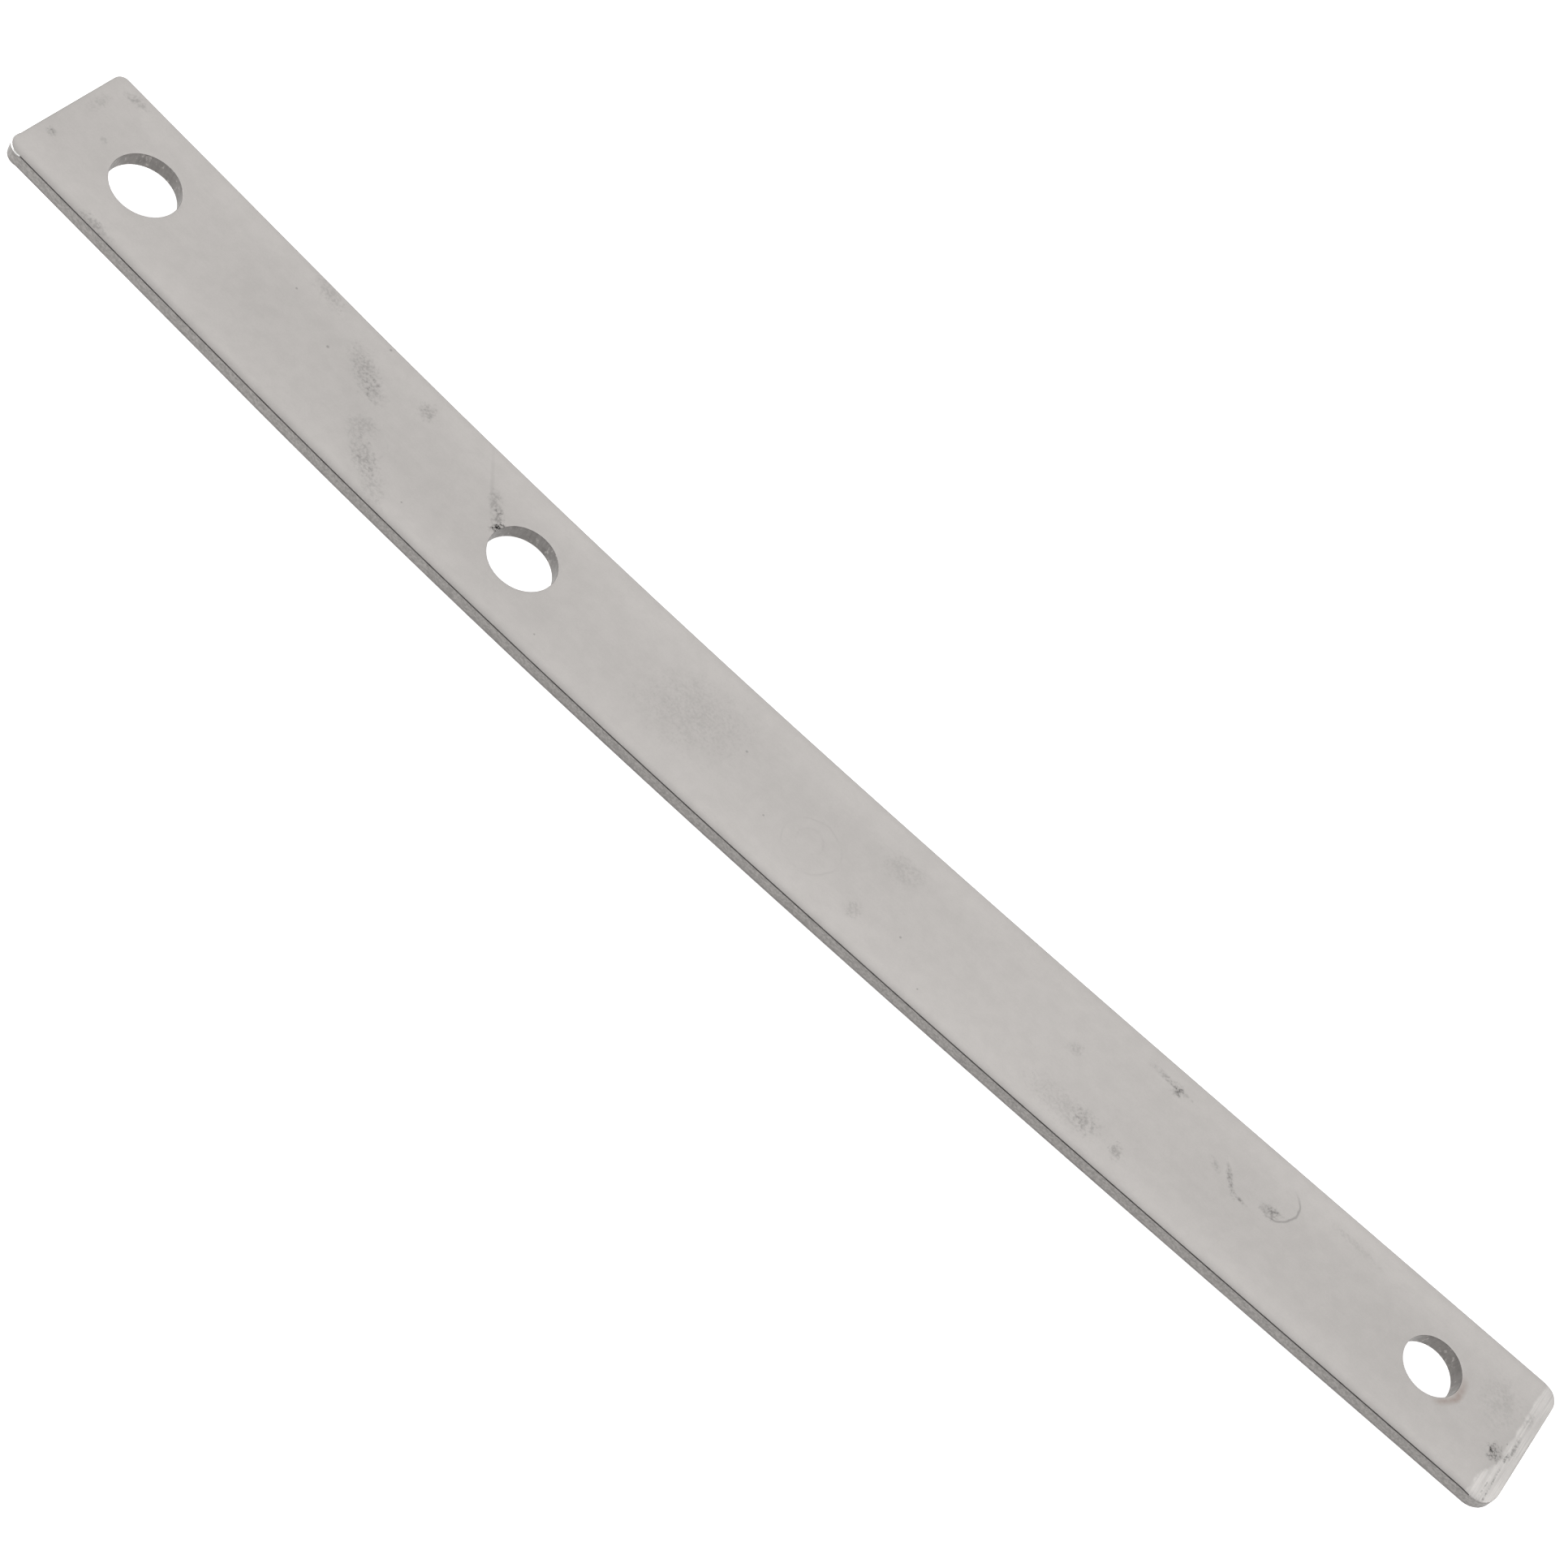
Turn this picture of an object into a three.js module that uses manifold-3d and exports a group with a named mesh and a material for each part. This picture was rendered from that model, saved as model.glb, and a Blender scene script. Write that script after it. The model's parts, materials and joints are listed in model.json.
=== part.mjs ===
import * as THREE from 'three';
import { mergeVertices } from 'three/addons/utils/BufferGeometryUtils.js';
import Module from 'manifold-3d';

// A slim magnetic knife rack for a wall: one bent steel bar with three mounting holes.
// Flat magnets lie in pockets milled into its back, held apart by plastic carriers,
// backed by keeper strips and closed by thin covers bonded flush with the back.
//
// Millimetres. +X runs along the bar, from the end with the two large holes to the end with the
// small one. +Y runs across it, and +Z points out of the knife face.
// The origin is under the middle of the bar, level with the lowest line of its back.

// Driving dimensions of the bar.
const barLength = 300;
const barWidth = 25.4;
const barThickness = 3;

// The hand-finished corners: which way each lies from the middle in X and Y, and its radius.
const corners = [
  { along: -1, across: -1, radius: 3 },
  { along: -1, across: 1, radius: 1.5 },
  { along: 1, across: -1, radius: 3.8 },
  { along: 1, across: 1, radius: 2.2 },
];

// The bend: a bow that is deepest left of the middle, and a droop of the left end beyond droopStart
// from the middle.
const bowDepth = 6.8;
const bowSkew = 2.7;
const droopStart = 100;
const leftDroop = 1.5;
const bendStations = 24;

// Mounting holes: distance from the left end, offset across the bar, and radius.
const holes = [
  { name: 'left', fromEnd: 17.2, across: 0.3, radius: 5.9 },
  { name: 'middle', fromEnd: 98.5, across: 0.3, radius: 5.9 },
  { name: 'right', fromEnd: 281.5, across: 0.8, radius: 5 },
];

// The right end is ground down from the knife face in a shallow round-over.
const groundLength = 4.5;
const groundDrop = 0.9;
const groundSteps = 5;

// Magnets, and the pockets that hold them. Depths are measured down from the knife face.
const magnetLength = 18;
const magnetWidth = 15;
const magnetPitch = 19.5;
const magnetTop = 0.9;
const magnetBottom = 2;
const pockets = [
  { name: 'left', middle: 57.8, magnets: 3 },
  { name: 'middle', middle: 149.2, magnets: 4 },
  { name: 'right', middle: 231.7, magnets: 4 },
];
const pocketTop = 0.8;
const pocketWidth = 19.5;
const pocketCornerRadius = 2;
const endWall = 0.75;

// Carriers, keeper strips and covers.
const carrierTop = 0.95;
const carrierBottom = 1.95;
const windowClearance = 0.15;
const keeperTop = 2.1;
const keeperBottom = 2.5;
const sideClearance = 0.15;
const keeperInset = 0.6;
const recessTop = 2.55;
const recessLedge = 1.2;
const coverTop = 2.6;

const holeSides = 48;
const cornerSteps = 4;
const toolReach = 8;

const steel = { color: 0xbab6b1, roughness: 0.38, metalness: 1 };
const nickel = { color: 0xc4c2bc, roughness: 0.22, metalness: 1 };
const mildSteel = { color: 0x84888c, roughness: 0.5, metalness: 1 };
const sheetSteel = { color: 0xa3a19d, roughness: 0.45, metalness: 1 };
const blackPlastic = { color: 0x242527, roughness: 0.6, metalness: 0 };

const wasm = await Module();
wasm.setup();

// ---- The bend ----

const halfLength = barLength / 2;
const droopLength = halfLength - droopStart;

// How far place u, measured along the bar from its middle, is into the drooping stretch, from 0 to 1.
function droopShare(u) {
  return Math.max(0, (-u - droopStart) / droopLength);
}

// Height of the bent knife face over its right end.
function bendHeight(u) {
  const t = (2 * u) / barLength;
  return (1 - t * t) * (bowSkew * t - bowDepth) - leftDroop * droopShare(u) ** 2;
}

function bendAngle(u) {
  const t = (2 * u) / barLength;
  const bowRise = bowSkew * (1 - 3 * t * t) + 2 * bowDepth * t;
  const droopRise = (2 * leftDroop * droopShare(u)) / droopLength;
  return Math.atan((2 * bowRise) / barLength + droopRise);
}

const stations = [];
for (let i = 0; i <= bendStations; i += 1) {
  stations.push((i / bendStations - 0.5) * barLength);
}

// Puts the lowest line of the back at height 0, and the bar's box evenly about x = 0.
const backHeights = stations.map((u) => bendHeight(u) - barThickness * Math.cos(bendAngle(u)));
const lift = -Math.min(...backHeights);
const endLeans = [-halfLength, halfLength].map((u) => barThickness * Math.sin(bendAngle(u)));
const shift = -(Math.min(0, endLeans[0]) + Math.max(0, endLeans[1])) / 2;

// The point at place u along the bar, at a depth square to the knife face.
function pointInBar(u, depth) {
  const angle = bendAngle(u);
  const x = u + shift + depth * Math.sin(angle);
  const z = bendHeight(u) + lift - depth * Math.cos(angle);
  return new THREE.Vector2(x, z);
}

// ---- Solids ----

function toSolid(geometry) {
  geometry.deleteAttribute('normal');
  geometry.deleteAttribute('uv');
  const merged = mergeVertices(geometry);
  const vertProperties = new Float32Array(merged.attributes.position.array);
  const triVerts = new Uint32Array(merged.index.array);
  return new wasm.Manifold(new wasm.Mesh({ numProp: 3, vertProperties, triVerts }));
}

function toGeometry(solid) {
  const { vertProperties, triVerts } = solid.getMesh();
  const geometry = new THREE.BufferGeometry();
  geometry.setAttribute('position', new THREE.BufferAttribute(vertProperties, 3));
  geometry.setIndex(new THREE.BufferAttribute(triVerts, 1));
  geometry.computeVertexNormals();
  return geometry;
}

// A bent layer over the whole bar, between two depths below the knife face.
function bentLayer(topDepth, bottomDepth, width) {
  const top = stations.map((u) => pointInBar(u, topDepth));
  const bottom = stations.map((u) => pointInBar(u, bottomDepth));
  const profile = new THREE.Shape([...bottom, ...top.reverse()]);
  const geometry = new THREE.ExtrudeGeometry(profile, { depth: width, bevelEnabled: false });
  geometry.rotateX(Math.PI / 2);
  geometry.translate(0, width / 2, 0);
  return toSolid(geometry);
}

// Stands a geometry drawn in the bar's own plane on the knife face at place u, square to it.
function standOnFace(geometry, u, across) {
  const foot = pointInBar(u, 0);
  geometry.rotateY(-bendAngle(u));
  geometry.translate(foot.x, across, foot.y);
  return geometry;
}

// A tool with the given outline that runs right through the bar, square to the knife face.
function throughTool(outline, u, across = 0) {
  const settings = { depth: 2 * toolReach, bevelEnabled: false, curveSegments: cornerSteps };
  const geometry = new THREE.ExtrudeGeometry(outline, settings);
  geometry.translate(0, 0, -toolReach);
  return toSolid(standOnFace(geometry, u, across));
}

function drill(hole) {
  const geometry = new THREE.CylinderGeometry(hole.radius, hole.radius, 2 * toolReach, holeSides);
  geometry.rotateX(Math.PI / 2);
  return toSolid(standOnFace(geometry, hole.fromEnd - halfLength, hole.across));
}

function rectangle(length, width) {
  const x = length / 2;
  const y = width / 2;
  const points = [[-x, -y], [x, -y], [x, y], [-x, y]];
  return new THREE.Shape(points.map(([px, py]) => new THREE.Vector2(px, py)));
}

function roundedRectangle(length, width, radius) {
  const x = length / 2 - radius;
  const y = width / 2 - radius;
  const shape = new THREE.Shape();
  shape.absarc(x, y, radius, 0, Math.PI / 2);
  shape.absarc(-x, y, radius, Math.PI / 2, Math.PI);
  shape.absarc(-x, -y, radius, Math.PI, 1.5 * Math.PI);
  shape.absarc(x, -y, radius, 1.5 * Math.PI, 2 * Math.PI);
  return shape;
}

// What a rounded corner leaves of a square one.
function cornerTool(corner) {
  const overshoot = 1;
  const outline = new THREE.Shape();
  const inner = -corner.radius;
  outline.moveTo(0, inner);
  outline.absarc(inner, inner, corner.radius, 0, Math.PI / 2);
  outline.lineTo(inner, overshoot);
  outline.lineTo(overshoot, overshoot);
  outline.lineTo(overshoot, inner);
  const points = outline.getPoints(cornerSteps);
  const placed = points.map((p) => new THREE.Vector2(p.x * corner.along, p.y * corner.across));
  const shape = new THREE.Shape(placed);
  return throughTool(shape, corner.along * halfLength, (corner.across * barWidth) / 2);
}

// The metal that grinding has taken off the knife face at the right end.
function groundTool() {
  const overshoot = 1;
  const profile = new THREE.Shape();
  profile.moveTo(-groundLength, 0);
  for (let i = 1; i <= groundSteps; i += 1) {
    const part = i / groundSteps;
    profile.lineTo(groundLength * (part - 1), -groundDrop * part * part);
  }
  profile.lineTo(overshoot, -groundDrop);
  profile.lineTo(overshoot, overshoot);
  profile.lineTo(-groundLength, overshoot);
  const width = barWidth + 2 * overshoot;
  const geometry = new THREE.ExtrudeGeometry(profile, { depth: width, bevelEnabled: false });
  geometry.rotateX(Math.PI / 2);
  geometry.translate(0, width / 2, 0);
  return toSolid(standOnFace(geometry, halfLength, 0));
}

// ---- Pieces ----

function named(name, geometry, look) {
  const mesh = new THREE.Mesh(geometry, new THREE.MeshStandardMaterial(look));
  mesh.name = name;
  return mesh;
}

const pocketLength = (pocket) => pocket.magnets * magnetPitch + 2 * endWall;
const pocketPlace = (pocket) => pocket.middle - halfLength;

// The outline of a pocket, grown or shrunk all round.
function pocketOutline(pocket, growth) {
  const length = pocketLength(pocket) + 2 * growth;
  return roundedRectangle(length, pocketWidth + 2 * growth, pocketCornerRadius + growth);
}

// Places of a pocket's magnets along the bar.
function magnetPlaces(pocket) {
  const places = [];
  for (let i = 0; i < pocket.magnets; i += 1) {
    const step = i - (pocket.magnets - 1) / 2;
    places.push(pocketPlace(pocket) + step * magnetPitch);
  }
  return places;
}

// A sheet that fills a pocket's outline between two depths.
function pocketSheet(pocket, topDepth, bottomDepth, growth) {
  const layer = bentLayer(topDepth, bottomDepth, barWidth);
  return layer.intersect(throughTool(pocketOutline(pocket, growth), pocketPlace(pocket)));
}

function faceBar() {
  let solid = bentLayer(0, barThickness, barWidth);
  for (const corner of corners) {
    solid = solid.subtract(cornerTool(corner));
  }
  for (const hole of holes) {
    solid = solid.subtract(drill(hole));
  }
  for (const pocket of pockets) {
    const below = barThickness + 1;
    solid = solid.subtract(pocketSheet(pocket, pocketTop, below, 0));
    solid = solid.subtract(pocketSheet(pocket, recessTop, below, recessLedge));
  }
  return solid.subtract(groundTool());
}

function magnet(name, u) {
  const thickness = magnetBottom - magnetTop;
  const mesh = named(name, new THREE.BoxGeometry(magnetLength, magnetWidth, thickness), nickel);
  const centre = pointInBar(u, (magnetTop + magnetBottom) / 2);
  mesh.position.set(centre.x, 0, centre.y);
  mesh.rotation.y = -bendAngle(u);
  return mesh;
}

function carrier(pocket) {
  let solid = pocketSheet(pocket, carrierTop, carrierBottom, -sideClearance);
  const length = magnetLength + 2 * windowClearance;
  const width = magnetWidth + 2 * windowClearance;
  for (const u of magnetPlaces(pocket)) {
    solid = solid.subtract(throughTool(rectangle(length, width), u));
  }
  return solid;
}

const rack = new THREE.Group();
rack.add(named('face_bar', toGeometry(faceBar()), steel));

let magnetNumber = 0;
for (const pocket of pockets) {
  for (const u of magnetPlaces(pocket)) {
    magnetNumber += 1;
    rack.add(magnet(`magnet_${String(magnetNumber).padStart(2, '0')}`, u));
  }
  const keeper = pocketSheet(pocket, keeperTop, keeperBottom, -keeperInset);
  const cover = pocketSheet(pocket, coverTop, barThickness, recessLedge - sideClearance);
  rack.add(named(`magnet_carrier_${pocket.name}`, toGeometry(carrier(pocket)), blackPlastic));
  rack.add(named(`keeper_strip_${pocket.name}`, toGeometry(keeper), mildSteel));
  rack.add(named(`back_cover_${pocket.name}`, toGeometry(cover), sheetSteel));
}

export default rack;
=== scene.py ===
"""Looks of a slim magnetic knife rack: a bowed satin steel bar with three screw holes.

The bar is made here as one fine mesh around the CAD frame. The covers in its back, and the magnets,
carriers and keeper strips behind them, keep their CAD shapes and get their finishes here.
The bar's lengths are millimetres, and MM turns them into metres. The studio is in metres.
"""
import json
import math

import bmesh
import bpy
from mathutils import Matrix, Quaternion, Vector


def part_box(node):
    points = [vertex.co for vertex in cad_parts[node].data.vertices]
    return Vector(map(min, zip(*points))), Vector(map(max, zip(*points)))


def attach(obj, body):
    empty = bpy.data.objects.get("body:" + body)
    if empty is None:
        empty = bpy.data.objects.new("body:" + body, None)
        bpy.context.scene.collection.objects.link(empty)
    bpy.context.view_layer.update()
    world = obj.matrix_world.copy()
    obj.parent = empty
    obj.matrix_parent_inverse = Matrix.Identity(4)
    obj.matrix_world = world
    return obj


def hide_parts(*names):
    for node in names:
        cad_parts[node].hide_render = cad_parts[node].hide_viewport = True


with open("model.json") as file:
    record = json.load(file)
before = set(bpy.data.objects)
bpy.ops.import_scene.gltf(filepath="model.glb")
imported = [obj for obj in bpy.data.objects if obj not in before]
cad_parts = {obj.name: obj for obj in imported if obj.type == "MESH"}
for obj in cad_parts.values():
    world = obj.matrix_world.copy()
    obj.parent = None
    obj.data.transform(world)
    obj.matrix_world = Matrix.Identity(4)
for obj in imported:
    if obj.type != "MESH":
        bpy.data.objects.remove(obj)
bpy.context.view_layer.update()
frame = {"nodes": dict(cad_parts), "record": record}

MM = 0.001

# ---- Sizes of the bar, as in the CAD part ----

LENGTH = 300.0
THICKNESS = 3.0
# Radii of the corners, by which way each lies from the middle in X and Y.
CORNERS = {(-1, -1): 3.0, (-1, 1): 1.5, (1, -1): 3.8, (1, 1): 2.2}
BOW_DEPTH = 6.8
BOW_SKEW = 2.7
DROOP_START = 100.0
LEFT_DROOP = 1.5
BEND_STATIONS = 24
HOLE_RADII = {"screw_hole_left": 5.9, "screw_hole_middle": 5.9, "screw_hole_right": 5.0}
# Where each pocket's middle is from the left end, and how long the pocket is.
POCKETS = {"left": (57.8, 60.0), "middle": (149.2, 79.5), "right": (231.7, 79.5)}
POCKET_WIDTH = 19.5
POCKET_CORNER = 2.0
POCKET_TOP = 0.8
RECESS_TOP = 2.55
RECESS_LEDGE = 1.2

bar_low, bar_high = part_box("face_bar")
WIDTH = (bar_high.y - bar_low.y) / MM
HALF_LENGTH = LENGTH / 2
HALF_WIDTH = WIDTH / 2

# ---- Finer shapes that only this mesh has ----

# Edges: the face rolls over softly, turns in a small round to the sheared wall, and a finer round
# meets the back. Shearing has rolled the near edge over more than the others and left its wall
# leaning: it stands out by NEAR_LEAN under the face and by NEAR_FOOT at the back. The far wall
# stands out by FAR_LEAN under the face.
ROLL_WIDTH = 1.3
EDGE_RADIUS = 0.17
NEAR_ROLL_SLOPE = math.radians(11)
OTHER_ROLL_SLOPE = math.radians(3)
NEAR_LEAN = 0.33
NEAR_FOOT = 0.06
FAR_LEAN = 0.12
BACK_RADIUS = 0.09

# The wall is coloured darker below FOOT_TOP. EDGE_WALL holds its (distance in, depth) down to the back's
# round.
FOOT_TOP = 2.5
EDGE_WALL = [(0.0, 1.0), (0.0, 1.8), (0.0, FOOT_TOP), (0.0, THICKNESS - BACK_RADIUS)]

# The painted dark reflection on the near edge's small round stops here, from the middle.
LINE_END = 145.8

# Rims and walls of the screw holes, like the edges. The walls widen a little towards the back.
RIM_WIDTH = 0.6
RIM_RADIUS = 0.07
RIM_ROLL_SLOPE = math.radians(4)
RIM_BACK_RADIUS = 0.1
HOLE_WALL = [(0.0, 0.6), (0.0, 1.3), (0.03, 1.7), (0.05, THICKNESS - RIM_BACK_RADIUS)]

# Punching has left the small hole leaning: how far its wall is off along and across at the back.
HOLE_LEANS = {"screw_hole_right": (-0.42, -0.05)}

# The near-left corner is dressed with a bevel between face and wall, coloured bright partly as a painted
# highlight, and its wall stands out.
BEVEL_RADIUS = 0.2
BEVEL_LEAN = 0.45

# The left end is cut a little askew over its last stretch.
LEFT_SKEW = 0.22
SKEW_LENGTH = 12.0

# The right end is ground down from the face, further in on the near side than on the far side.
GROUND_NEAR = 5.6
GROUND_FAR = 3.4
GROUND_DROP = 0.75
GROUND_POWER = 1.3

# The break of the recesses' edge at the back.
RECESS_LIP = 0.08

# ---- How fine the mesh is ----

ROLL_STEPS = 6
BACK_STEPS = 3
CORNER_STEPS = 8
CORNER_RINGS = 3
MIDDLE_ROWS = 14
ROWS = MIDDLE_ROWS + 2 * CORNER_RINGS
HOLE_RINGS = 8
RING_SPACING = 1.3
WELD_DISTANCE = 1e-7
SHARP_ANGLE = math.radians(38)
SLACK = 1e-9

# The bar is meshed in stretches. The plain one at the left end reaches LEFT_REACH. STRETCHES holds
# those after it: how far each reaches from the left end, its columns, and its hole or pocket.
# A plain one makes up the rest.
LEFT_REACH = 8.6
LEFT_COLUMNS = 6
STRETCHES = [
    (25.9, 16, "hole", "screw_hole_left"),
    (89.5, 52, "pocket", "left"),
    (107.5, 16, "hole", "screw_hole_middle"),
    (190.45, 66, "pocket", "middle"),
    (273.1, 66, "pocket", "right"),
    (290.0, 16, "hole", "screw_hole_right"),
]
RIGHT_COLUMNS = 14

# Places of the bar's materials in its list. How many steps of an edge's small round, and of a hole's,
# still look like the face, and how many steps of wall lie above the darker foot.
FACE, LINE, EDGE, FOOT, BEVEL, WALL, BACK, POCKET = range(8)
EDGE_FACE_STEPS = 4
RIM_FACE_STEPS = 2
WALL_STEPS = 3


def spread(start, end, count):
    """Values from start to end in count even steps."""
    return [start + (end - start) * i / count for i in range(count + 1)]


# ---- The bend ----

DROOP_LENGTH = HALF_LENGTH - DROOP_START


def droop_share(u):
    """How far place u, measured along the bar from its middle, is into the drooping stretch."""
    return max(0.0, (-u - DROOP_START) / DROOP_LENGTH)


def bend_height(u):
    """Height of the bent knife face over its right end."""
    t = 2 * u / LENGTH
    return (1 - t * t) * (BOW_SKEW * t - BOW_DEPTH) - LEFT_DROOP * droop_share(u) ** 2


def bend_angle(u):
    t = 2 * u / LENGTH
    bow_rise = BOW_SKEW * (1 - 3 * t * t) + 2 * BOW_DEPTH * t
    droop_rise = 2 * LEFT_DROOP * droop_share(u) / DROOP_LENGTH
    return math.atan(2 * bow_rise / LENGTH + droop_rise)


# The bar's box is even about x = 0, and the lowest of its back's bend stations is at height 0.
LEFT_LEAN = THICKNESS * math.sin(bend_angle(-HALF_LENGTH))
RIGHT_LEAN = THICKNESS * math.sin(bend_angle(HALF_LENGTH))
SHIFT = -(min(0.0, LEFT_LEAN) + max(0.0, RIGHT_LEAN)) / 2
STATIONS = spread(-HALF_LENGTH, HALF_LENGTH, BEND_STATIONS)
LIFT = -min(bend_height(u) - THICKNESS * math.cos(bend_angle(u)) for u in STATIONS)


def ground_depth(u, v):
    """How far grinding has lowered the face at the right end."""
    near_share = 0.5 - v / WIDTH
    reach = GROUND_FAR + (GROUND_NEAR - GROUND_FAR) * near_share
    share = (u - (HALF_LENGTH - reach)) / reach
    return GROUND_DROP * max(0.0, share) ** GROUND_POWER


def bar_point(u, v, depth):
    """The place in the row frame, in metres, of a point of the flat bar, u from its middle."""
    depth += ground_depth(u, v) * (1 - depth / THICKNESS)
    angle = bend_angle(u)
    skew = LEFT_SKEW * max(0.0, (SKEW_LENGTH - HALF_LENGTH - u) / SKEW_LENGTH) * v / HALF_WIDTH
    x = u + skew + SHIFT + depth * math.sin(angle)
    z = bend_height(u) + LIFT - depth * math.cos(angle)
    return Vector((x, v, z)) * MM


# ---- Mesh building ----

class Sheet:
    """Collects points of the flat bar and faces between them, and bends them into one mesh."""

    def __init__(self):
        self.points = []
        self.faces = []
        self.slots = []

    def loop(self, points):
        start = len(self.points)
        self.points.extend(points)
        return list(range(start, len(self.points)))

    def face(self, corners, slot):
        self.faces.append(tuple(corners))
        self.slots.append(slot)

    def bridge(self, one, other, slots):
        """Quads between two closed loops with the same number of points, and a slot for each."""
        for i, slot in enumerate(slots):
            j = (i + 1) % len(one)
            self.face((one[i], one[j], other[j], other[i]), slot)

    def bridge_all(self, loops, slot_of):
        """Bridges each loop of points to the next. slot_of gives the slot for each step."""
        made = [self.loop(points) for points in loops]
        for step, (one, other) in enumerate(zip(made, made[1:])):
            self.bridge(one, other, [slot_of(step)] * len(one))

    def grid(self, rows_of_points, slot, skip=()):
        """Quads between rows of points. skip holds the (row, column) of quads to leave out."""
        rows = [self.loop(points) for points in rows_of_points]
        for j, (row, above) in enumerate(zip(rows, rows[1:])):
            for i in range(len(row) - 1):
                if (j, i) not in skip:
                    self.face((row[i], row[i + 1], above[i + 1], above[i]), slot)

    def build(self, name, materials):
        mesh = bpy.data.meshes.new(name)
        mesh.from_pydata([bar_point(*point) for point in self.points], [], self.faces)
        for material in materials:
            mesh.materials.append(material)
        mesh.polygons.foreach_set("material_index", self.slots)
        shape = bmesh.new()
        shape.from_mesh(mesh)
        bmesh.ops.remove_doubles(shape, verts=shape.verts, dist=WELD_DISTANCE)
        bmesh.ops.recalc_face_normals(shape, faces=shape.faces)
        for face in shape.faces:
            face.smooth = True
        for edge in shape.edges:
            edge.smooth = edge.calc_face_angle(0) < SHARP_ANGLE
        shape.to_mesh(mesh)
        shape.free()
        piece = bpy.data.objects.new(name, mesh)
        bpy.context.scene.collection.objects.link(piece)
        return piece


def border(columns, rows):
    """Grid places round the rim of a grid, once round, counter-clockwise from its first corner."""
    below = [(i, 0) for i in range(columns)]
    right = [(columns, j) for j in range(rows)]
    above = [(i, rows) for i in range(columns, 0, -1)]
    left = [(0, j) for j in range(rows, 0, -1)]
    return below + right + above + left


def rounded_outline(places, length, width, radius):
    """Moves places on the rim of the unit square, -1 to 1, onto a rounded rectangle."""
    inner_x, inner_y = length / 2 - radius, width / 2 - radius
    points = []
    for s, t in places:
        x, y = s * length / 2, t * width / 2
        if abs(x) > inner_x and abs(y) > inner_y:
            out = Vector((abs(x) - inner_x, abs(y) - inner_y)).normalized() * radius
            x = math.copysign(inner_x + out.x, x)
            y = math.copysign(inner_y + out.y, y)
        points.append((x, y))
    return points


def edge_profile(width, radius, slope, back_radius, wall, lean=0.0, foot=0.0):
    """Section of an edge, as (distance in from the edge, depth) from the face round to the back.

    The face rolls over across width until it has the given slope, where the small round begins.
    The wall stands out beyond the edge by lean at its top and by foot at the back.
    """
    turn_in = radius * (1 - math.sin(slope)) - lean
    drop = math.tan(slope) * (width - turn_in) / 2
    points = []
    for share in spread(0.0, 1.0, ROLL_STEPS):
        points.append((width + (turn_in - width) * share, drop * share * share))
    for angle in spread(slope, math.pi / 2, ROLL_STEPS)[1:]:
        depth = drop + radius * (math.cos(slope) - math.cos(angle))
        points.append((radius * (1 - math.sin(angle)) - lean, depth))
    wall_top = points[-1][1]
    for inset, depth in wall:
        share = (depth - wall_top) / (THICKNESS - wall_top)
        points.append((inset - lean + (lean - foot) * share, depth))
    wall_inset = points[-1][0]
    for angle in spread(0.0, math.pi / 2, BACK_STEPS)[1:]:
        inset = wall_inset + back_radius * (1 - math.cos(angle))
        points.append((inset, THICKNESS - back_radius * (1 - math.sin(angle))))
    return points


# ---- The stretches of the bar ----

hole_boxes = {o["name"]: o["box_m"] for o in frame["record"]["physics"]["openings"]}


class Block:
    """A stretch of the bar over its full width inside the edge roll-over.

    near and far are its stations along its two long sides, from the bar's middle.
    """

    def __init__(self, near, far, kind="plain", name=None, corner_columns=()):
        self.near = near
        self.far = far
        self.columns = len(near) - 1
        self.kind = kind
        self.name = name
        self.corner_columns = corner_columns

    def place(self, i, j):
        share = min(max((j - CORNER_RINGS) / MIDDLE_ROWS, 0.0), 1.0)
        u = self.near[i] + (self.far[i] - self.near[i]) * share
        return u, across(j, u)

    def unit_place(self, i, j):
        return 2 * i / self.columns - 1, 2 * j / ROWS - 1


def middle_block(start, end, columns, kind, name):
    """A stretch with a hole or a pocket, between two distances from the left end."""
    stations = [u - HALF_LENGTH for u in spread(start, end, columns)]
    return Block(stations, stations, kind, name)


def end_block(along, reach, columns):
    """The plain stretch at an end. Its outer columns pass from one corner to the other."""
    sides = []
    for side in (-1, 1):
        radius = CORNERS[along, side]
        insets = spread(ROLL_WIDTH, radius, CORNER_RINGS)[:-1] + spread(radius, reach, columns)
        sides.append(sorted(along * (HALF_LENGTH - inset) for inset in insets))
    first = 0 if along < 0 else columns
    return Block(*sides, corner_columns=range(first, first + CORNER_RINGS))


def bar_blocks():
    """The bar from end to end: plain ends, and the hole and pocket stretches between them."""
    blocks = [end_block(-1, LEFT_REACH, LEFT_COLUMNS)]
    start = LEFT_REACH
    for end, columns, kind, name in STRETCHES:
        blocks.append(middle_block(start, end, columns, kind, name))
        start = end
    blocks.append(end_block(1, LENGTH - start, RIGHT_COLUMNS))
    return blocks


def corner_radius(u, side):
    """Radius of the bar's corners on one side, passing evenly from one end's to the other's."""
    left, right = CORNERS[-1, side], CORNERS[1, side]
    share = (u + HALF_LENGTH - left) / (LENGTH - left - right)
    return left + (right - left) * min(max(share, 0.0), 1.0)


def across(j, u):
    """Place across the bar of row j. The outer rows lie between the roll-over and the corner centres."""
    outer = HALF_WIDTH - ROLL_WIDTH
    near = corner_radius(u, -1) - HALF_WIDTH
    far = HALF_WIDTH - corner_radius(u, 1)
    if j < CORNER_RINGS:
        return -outer + (outer + near) * j / CORNER_RINGS
    if j > ROWS - CORNER_RINGS:
        return outer - (outer - far) * (ROWS - j) / CORNER_RINGS
    return near + (far - near) * (j - CORNER_RINGS) / MIDDLE_ROWS


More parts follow.
